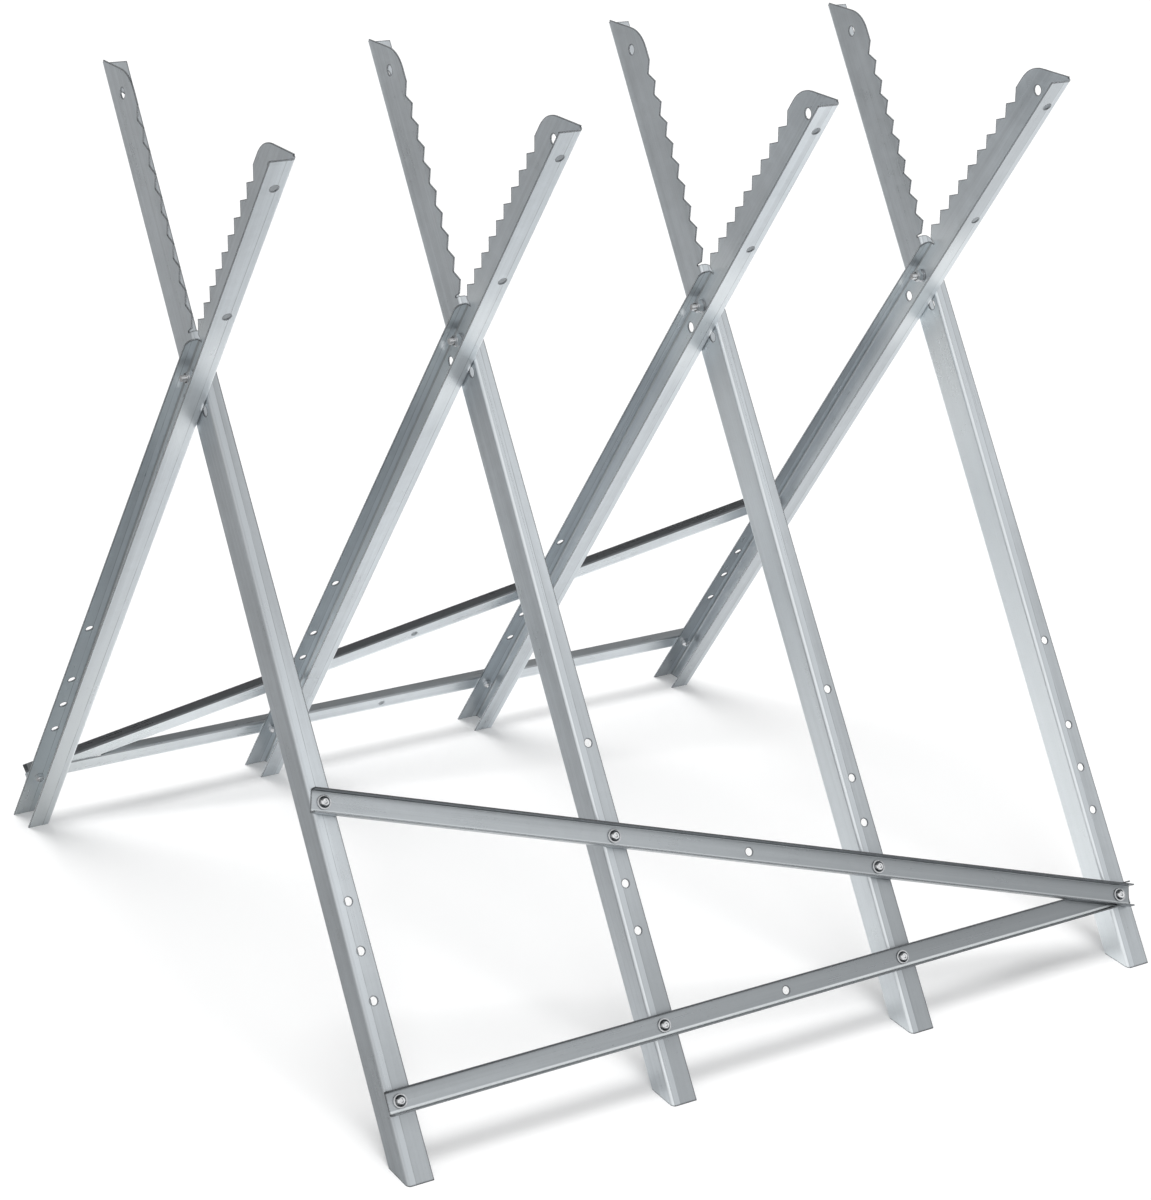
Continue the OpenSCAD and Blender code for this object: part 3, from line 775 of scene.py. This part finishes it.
def nylon_material():
    """Dark nylon of the lock nuts' rings."""
    fasteners = bpy.context.scene.saw_stand_fasteners
    material, tree, shader = start_material("Nylon insert")
    bloom = zinc_bloom(tree, {"Flake density": 900.0, "Cloud density": 500.0})
    darker = tuple(0.6 * c for c in fasteners.nylon_tone[:3]) + (1,)
    tree.links.new(
        blend_colour(tree, bloom["Cloud"], darker, fasteners.nylon_tone), shader.inputs["Base Color"])
    matt = sums(tree, (bloom["Cloud"], 0.15), (bloom["Flake"], 0.1))
    tree.links.new(calc(tree, "ADD", matt, 0.35), shader.inputs["Roughness"])
    return material


def dress(node, material):
    """Gives a CAD node a finish on its own material slots."""
    slots = NODES[node].material_slots
    if not slots:
        raise RuntimeError(f"{node} has no material slot")
    for slot in slots:
        slot.material = material


# Mesh building


class Turner:
    """Builds a piece from rings of points about +Z, joined one to the next."""

    def __init__(self, segments):
        self.mesh = bmesh.new()
        self.segments = segments

    def ring(self, height, radius):
        """A ring at a height; the radius is a number or a function of the angle."""
        points = []
        for i in range(self.segments):
            angle = math.tau * i / self.segments
            reach = radius(angle) if callable(radius) else radius
            points.append(self.mesh.verts.new((reach * math.cos(angle), reach * math.sin(angle), height)))
        return points

    def join(self, rings, closed=False, material=0):
        """Faces between rings in order, and from the last back to the first if closed."""
        pairs = list(zip(rings, rings[1:])) + ([(rings[-1], rings[0])] if closed else [])
        for low, high in pairs:
            for i in range(self.segments):
                j = (i + 1) % self.segments
                self.mesh.faces.new((low[i], low[j], high[j], high[i])).material_index = material

    def cap(self, ring, height):
        """Closes a ring with a fan to a middle point."""
        middle = self.mesh.verts.new((0, 0, height))
        for i in range(self.segments):
            self.mesh.faces.new((ring[i], ring[(i + 1) % self.segments], middle))


def hexagon(flat_radius, limit=math.inf):
    """Radius of a hexagon about its middle, cut off at a limit, as a function of the angle."""
    def radius(angle):
        from_flat = angle % (math.pi / 3) - math.pi / 6
        return min(flat_radius / math.cos(from_flat), limit)
    return radius


def chamfered_hexagon(turner, low, high, flat_radius, top):
    """Rings of a hexagonal prism whose corners are turned off at the bottom and, if wanted, at the top."""
    corner = flat_radius / FLAT_SHARE
    face = 0.97 * flat_radius
    depth = (corner - face) * math.tan(math.radians(30))
    chamfer = [(depth * step, face + (corner - face) * step) for step in (0.0, 0.3, 0.65, 1.0)]
    rings = [turner.ring(low + fall, hexagon(flat_radius, limit)) for fall, limit in chamfer]
    if top:
        rings += [turner.ring(high - fall, hexagon(flat_radius, limit)) for fall, limit in reversed(chamfer)]
    else:
        rings.append(turner.ring(high, hexagon(flat_radius)))
    return rings


def threaded_shank(turner, head, length, radius, plain):
    """Rings of a shank: a plain share of it under the head, then a helical thread up to a tapered end."""
    fasteners = bpy.context.scene.saw_stand_fasteners
    pitch = 2 * radius * fasteners.thread_pitch
    depth = pitch * fasteners.thread_depth
    start = head + plain * (length - head)
    skin = radius - 0.00002
    taper = 0.0006
    fillet_width, fillet_height = 0.0003, 0.0002
    flank = 2.3
    rows_per_turn = 8

    def groove(height):
        fade_in = min(1.0, max(0.0, (height - start) / pitch))
        end_taper = max(0.0, height - (length - taper))

        def ring_radius(angle):
            along = (height / pitch - angle / math.tau) % 1.0
            cut = depth * max(0.0, 1.0 - abs(along - 0.5) * flank)
            return min(skin - cut * fade_in, skin - end_taper)
        return ring_radius

    rings = [turner.ring(head, radius + fillet_width), turner.ring(head + fillet_height, skin)]
    rows = max(2, round((length - start) / (pitch / rows_per_turn)))
    for row in range(rows + 1):
        height = start + (length - start) * row / rows
        rings.append(turner.ring(height, groove(height)))
    return rings


# The next functions each make one fastener from the points of its plain solid, with its inner end at the
# origin, and give the place of that end


def make_hexagon_bolt(turner, points, axis):
    """Hexagon bolt: a chamfered head with a slight dish, and a thread."""
    inner, length, head, corner_radius, shank = bolt_size(points, axis)
    dish = 0.00012
    rings = chamfered_hexagon(turner, 0.0, head, corner_radius * FLAT_SHARE, top=False)
    turner.cap(rings[0], height=dish)
    rings += threaded_shank(turner, head, length, shank, plain=0.4)
    turner.join(rings)
    turner.cap(rings[-1], height=length)
    return inner


def make_button_bolt(turner, points, axis):
    """Bolt with a low domed head with painted shade towards its rim, a hexagon socket and a thread."""
    inner, length, head, head_radius, shank = bolt_size(points, axis)
    fasteners = bpy.context.scene.saw_stand_fasteners
    socket = fasteners.socket_width / 2
    depth = fasteners.socket_depth
    mouth = socket / FLAT_SHARE
    lead_in, drill_point, soft = 0.0002, 0.0004, 0.00012
    rings = [
        turner.ring(depth, hexagon(socket)), turner.ring(lead_in, hexagon(socket)),
        turner.ring(0.2 * lead_in, mouth + 0.3 * lead_in), turner.ring(0.0, mouth + lead_in)]
    turner.cap(rings[0], height=depth + drill_point)
    rim, flat_top = 0.0005, 0.0024
    fall = (head_radius ** 2 - flat_top ** 2) / (head - rim)
    centre = (head + rim - fall) / 2
    dome = math.hypot(head_radius, rim - centre)
    first, last = math.asin(flat_top / dome), math.asin(head_radius / dome)
    # The outer steps of the dome take the plating with painted shade
    steps, lit_steps = 8, 3
    shaded_from = len(rings) + lit_steps
    for step in range(steps + 1):
        lean = first + (last - first) * step / steps
        rings.append(turner.ring(head - centre - dome * math.cos(lean), dome * math.sin(lean)))
    turner.join(rings[:shaded_from + 1])
    turner.join(rings[shaded_from:], material=1)
    rings = rings[-1:] + [turner.ring(head - soft, head_radius), turner.ring(head, head_radius - soft)]
    rings += threaded_shank(turner, head, length, shank, plain=0.3)
    turner.join(rings)
    turner.cap(rings[-1], height=length)
    return inner


def make_washer(turner, points, axis):
    """Flat washer: rolled over edges on its outer face, a crisp punched edge on the inner one."""
    inner, thickness, radius, bore = measured(points, axis)
    soft, crisp = 0.00028, 0.00006
    knee = 0.3 * soft
    outline = [
        (radius - crisp, 0.0), (radius, crisp), (radius, thickness - soft), (radius - knee, thickness - knee),
        (radius - soft, thickness), (bore + soft, thickness), (bore + knee, thickness - knee),
        (bore, thickness - soft), (bore, crisp), (bore + crisp, 0.0)]
    turner.join([turner.ring(z, r) for r, z in outline], closed=True)
    return inner


def make_lock_nut(turner, points, axis):
    """Lock nut: chamfered hexagon, crimped collar and a nylon ring below the collar's lip."""
    inner, height, corner_radius, bore = measured(points, axis)
    fasteners = bpy.context.scene.saw_stand_fasteners
    flat_radius = corner_radius * FLAT_SHARE
    shoulder = height - fasteners.collar_height
    collar = flat_radius - fasteners.collar_inset
    skin, mouth_width, mouth_depth = 0.00002, 0.0004, 0.00025
    # Out from the collar and up from the shoulder
    foot = ((0.00018, 0.00002), (0.00004, 0.00014), (0.0, 0.0004))
    # In from the collar and down from the top
    lip = (
        (0.0, 0.0006), (0.00006, 0.0003), (0.0002, 0.0001), (0.00036, 0.0), (0.0005, 0.00008),
        (0.00056, 0.0003))
    insert_edge = (0.00058, 0.00034)
    # Out from the bore and down from the top
    insert_mouth = ((0.0002, 0.00036), (0.00006, 0.0005), (0.0, 0.0007))
    rings = [turner.ring(mouth_depth, bore + skin), turner.ring(0.0, bore + mouth_width)]
    rings += chamfered_hexagon(turner, 0.0, shoulder, flat_radius, top=True)
    rings += [turner.ring(shoulder + z, collar + r) for r, z in foot]
    rings += [turner.ring(height - z, collar - r) for r, z in lip]
    turner.join(rings)
    insert = rings[-1:] + [turner.ring(height - insert_edge[1], collar - insert_edge[0])]
    insert += [turner.ring(height - z, bore + r) for r, z in insert_mouth]
    turner.join(insert, material=1)
    turner.join([insert[-1], rings[0]])
    return inner


def finish_piece(name, solids, materials, body, node):
    """Joins the placed solids into one smooth piece that stands for a CAD node."""
    whole = bmesh.new()
    for solid, matrix in solids:
        bmesh.ops.transform(solid, matrix=matrix, verts=solid.verts)
        part = bpy.data.meshes.new("part")
        solid.to_mesh(part)
        solid.free()
        whole.from_mesh(part)
        bpy.data.meshes.remove(part)
    bmesh.ops.recalc_face_normals(whole, faces=whole.faces)
    mesh = bpy.data.meshes.new(name)
    whole.to_mesh(mesh)
    whole.free()
    for polygon in mesh.polygons:
        polygon.use_smooth = True
    mesh.set_sharp_from_angle(angle=SHARP_ANGLE)
    for material in materials:
        mesh.materials.append(material)
    piece = bpy.data.objects.new(name, mesh)
    bpy.context.scene.collection.objects.link(piece)
    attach(piece, body)
    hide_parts(node)


def build_fasteners(nodes, make, ending, *materials):
    """Makes every solid of the given nodes anew, in its measured place."""
    segments = bpy.context.scene.saw_stand_fasteners.segments
    for node, axis in nodes:
        solids = []
        for points in loose_solids(node):
            turner = Turner(segments)
            inner = make(turner, points, axis)
            solids.append((turner.mesh, seat_matrix(inner, axis)))
        finish_piece(f"{node}_{ending}", solids, materials, body_of_node(node), node)


# Operators


class FinishArms(bpy.types.Operator):
    """Give the eight arms their galvanised finish"""

    bl_idname = "saw_stand.finish_arms"
    bl_label = "Finish arms"

    def execute(self, context):
        for side in SIDES:
            material = arm_material(side)
            for number in FRAME_NUMBERS:
                dress(f"{side}_arm_{number}", material)
        return {"FINISHED"}


class FinishBraces(bpy.types.Operator):
    """Give the four braces their galvanised finish"""

    bl_idname = "saw_stand.finish_braces"
    bl_label = "Finish braces"

    def execute(self, context):
        for side in SIDES:
            for row in ROWS:
                dress(f"{side}_{row}_brace", brace_material(side, row))
        return {"FINISHED"}


class BuildBolts(bpy.types.Operator):
    """Build the threaded bolts in place of their plain solids"""

    bl_idname = "saw_stand.build_bolts"
    bl_label = "Build bolts"

    def execute(self, context):
        build_fasteners(
            brace_fasteners("bolts"), make_button_bolt, "threaded", bolt_plating(), dome_rim_shade_plating())
        build_fasteners(pivot_fasteners("bolt"), make_hexagon_bolt, "threaded", bolt_plating())
        return {"FINISHED"}


class BuildWashers(bpy.types.Operator):
    """Build the washers with rounded edges"""

    bl_idname = "saw_stand.build_washers"
    bl_label = "Build washers"

    def execute(self, context):
        plating = washer_plating()
        for nodes in (brace_fasteners("washers"), pivot_fasteners("washers")):
            build_fasteners(nodes, make_washer, "rounded", plating)
        return {"FINISHED"}


class BuildNuts(bpy.types.Operator):
    """Build the lock nuts with crimped collars and nylon rings"""

    bl_idname = "saw_stand.build_nuts"
    bl_label = "Build lock nuts"

    def execute(self, context):
        plating, nylon = bolt_plating(), nylon_material()
        for nodes in (brace_fasteners("nuts"), pivot_fasteners("nut")):
            build_fasteners(nodes, make_lock_nut, "crimped", plating, nylon)
        return {"FINISHED"}


class SetStage(bpy.types.Operator):
    """Lay the pale floor and set the light and the camera"""

    bl_idname = "saw_stand.set_stage"
    bl_label = "Set stage"

    def execute(self, context):
        self.lay_floor(context)
        self.light_room(context)
        self.hang_key(context)
        self.stand_camera(context)
        context.scene.view_settings.view_transform = "Standard"
        return {"FINISHED"}

    def lay_floor(self, context):
        """A wide pale floor, whose mirror image dims on the shaded side."""
        studio = context.scene.saw_stand_studio
        mesh = bpy.data.meshes.new("floor")
        corners = [(FLOOR_REACH * x, FLOOR_REACH * y, 0) for x, y in ((-1, -1), (1, -1), (1, 1), (-1, 1))]
        mesh.from_pydata(corners, [], [(0, 1, 2, 3)])
        floor = bpy.data.objects.new("floor", mesh)
        context.scene.collection.objects.link(floor)
        material, tree, shader = start_material("Pale floor")
        along = dot(tree, put(tree, "ShaderNodeNewGeometry").outputs["Position"], tuple(studio.floor_fade))
        mirrored = put(tree, "ShaderNodeLightPath").outputs["Is Glossy Ray"]
        dim = calc(tree, "MULTIPLY", spread(tree, along, studio.floor_bright, studio.floor_dim), mirrored)
        faded = tuple(studio.shade_side * c for c in studio.floor_tone[:3]) + (1,)
        tree.links.new(blend_colour(tree, dim, studio.floor_tone, faded), shader.inputs["Base Color"])
        shader.inputs["Roughness"].default_value = 0.9
        shader.inputs["Specular IOR Level"].default_value = 0.1
        shader.inputs["Emission Color"].default_value = (1, 1, 1, 1)
        seen = calc(tree, "MULTIPLY", self.seen_rays(tree), calc(tree, "SUBTRACT", 1.0, dim))
        tree.links.new(calc(tree, "MULTIPLY", seen, studio.floor_lift), shader.inputs["Emission Strength"])
        mesh.materials.append(material)

    def seen_rays(self, tree):
        """One for rays that look at the background: from the camera, or by way of metal or glass."""
        path = put(tree, "ShaderNodeLightPath").outputs
        mirrored = calc(tree, "MAXIMUM", path["Is Glossy Ray"], path["Is Transmission Ray"])
        return calc(tree, "MAXIMUM", path["Is Camera Ray"], mirrored)

    def light_room(self, context):
        """Even light, with a white backdrop and a mirrored room that has a shaded wall and a dim ceiling."""
        studio = context.scene.saw_stand_studio
        shaded_wall, wall_edge, ceiling_edge = (-0.55, 0.83, 0.0), (0.0, 0.85), (0.66, 0.95)
        world = bpy.data.worlds.new("Studio room")
        world.use_nodes = True
        context.scene.world = world
        tree = world.node_tree
        direction = put(tree, "ShaderNodeTexCoord").outputs["Generated"]
        wall = spread(tree, dot(tree, direction, shaded_wall), *wall_edge, 1.0, studio.shade_side)
        height = put(tree, "ShaderNodeSeparateXYZ", {0: direction}).outputs["Z"]
        room = calc(tree, "MULTIPLY", wall, spread(tree, height, *ceiling_edge, 1.0, studio.ceiling))
        camera_ray = put(tree, "ShaderNodeLightPath").outputs["Is Camera Ray"]
        backdrop = calc(tree, "MAXIMUM", room, camera_ray)
        mixed = put(tree, "ShaderNodeMix", {
            "Factor": self.seen_rays(tree), 2: studio.fill, 3: backdrop}, data_type="FLOAT")
        background = tree.nodes["Background"]
        background.inputs["Color"].default_value = (1, 1, 1, 1)
        tree.links.new(mixed.outputs[0], background.inputs["Strength"])

    def hang_key(self, context):
        """The main lamp, which makes the shadows and isn't mirrored itself."""
        studio = context.scene.saw_stand_studio
        lamp = bpy.data.lights.new("key", "SUN")
        lamp.energy = studio.key_strength
        lamp.angle = studio.key_softness
        key = bpy.data.objects.new("key", lamp)
        key.rotation_mode = "QUATERNION"
        key.rotation_quaternion = Vector(studio.key_heading).to_track_quat("-Z", "Y")
        key.visible_glossy = False
        context.scene.collection.objects.link(key)

    def stand_camera(self, context):
        """The camera, placed and turned by the settings."""
        studio = context.scene.saw_stand_studio
        azimuth, elevation, roll = studio.camera_azimuth, studio.camera_elevation, studio.camera_roll
        heading = Vector((math.sin(azimuth), math.cos(azimuth), 0))
        forward = heading * math.cos(elevation) - UP * math.sin(elevation)
        level = Vector((math.cos(azimuth), -math.sin(azimuth), 0))
        upright = level.cross(forward)
        right = level * math.cos(roll) + upright * math.sin(roll)
        above = upright * math.cos(roll) - level * math.sin(roll)
        data = bpy.data.cameras.new("camera")
        data.sensor_fit = "AUTO"
        data.sensor_width = 36
        data.lens = studio.lens
        data.shift_x, data.shift_y = studio.shift
        data.clip_start, data.clip_end = 0.05, 200
        camera = bpy.data.objects.new("camera", data)
        turn = Matrix((right, above, -forward)).transposed().to_4x4()
        camera.matrix_world = Matrix.Translation(Vector(studio.camera_place)) @ turn
        context.scene.collection.objects.link(camera)
        context.scene.camera = camera


class SawStandPanel(bpy.types.Panel):
    """Lists the stand's settings and the operators that build it"""

    bl_idname = "VIEW3D_PT_saw_stand"
    bl_label = "Saw stand"
    bl_space_type = "VIEW_3D"
    bl_region_type = "UI"
    bl_category = "Saw stand"

    def draw(self, context):
        for label, settings in (
                ("Sheet", context.scene.saw_stand_sheet), ("Fasteners", context.scene.saw_stand_fasteners),
                ("Studio", context.scene.saw_stand_studio)):
            box = self.layout.box()
            box.label(text=label)
            for name in settings.__annotations__:
                box.prop(settings, name)
        for operator in OPERATORS:
            self.layout.operator(operator.bl_idname)


OPERATORS = (FinishArms, FinishBraces, BuildBolts, BuildWashers, BuildNuts, SetStage)
SETTINGS = {
    "saw_stand_sheet": SawStandSheet,
    "saw_stand_fasteners": SawStandFasteners,
    "saw_stand_studio": SawStandStudio,
}


def register():
    for cls in (*SETTINGS.values(), *OPERATORS, SawStandPanel):
        bpy.utils.register_class(cls)
    for name, cls in SETTINGS.items():
        setattr(bpy.types.Scene, name, PointerProperty(type=cls))


def unregister():
    for name in SETTINGS:
        delattr(bpy.types.Scene, name)
    for cls in reversed((*SETTINGS.values(), *OPERATORS, SawStandPanel)):
        bpy.utils.unregister_class(cls)


def main():
    register()
    bpy.ops.saw_stand.finish_arms()
    bpy.ops.saw_stand.finish_braces()
    bpy.ops.saw_stand.build_bolts()
    bpy.ops.saw_stand.build_washers()
    bpy.ops.saw_stand.build_nuts()
    bpy.ops.saw_stand.set_stage()


if __name__ == "__main__":
    main()
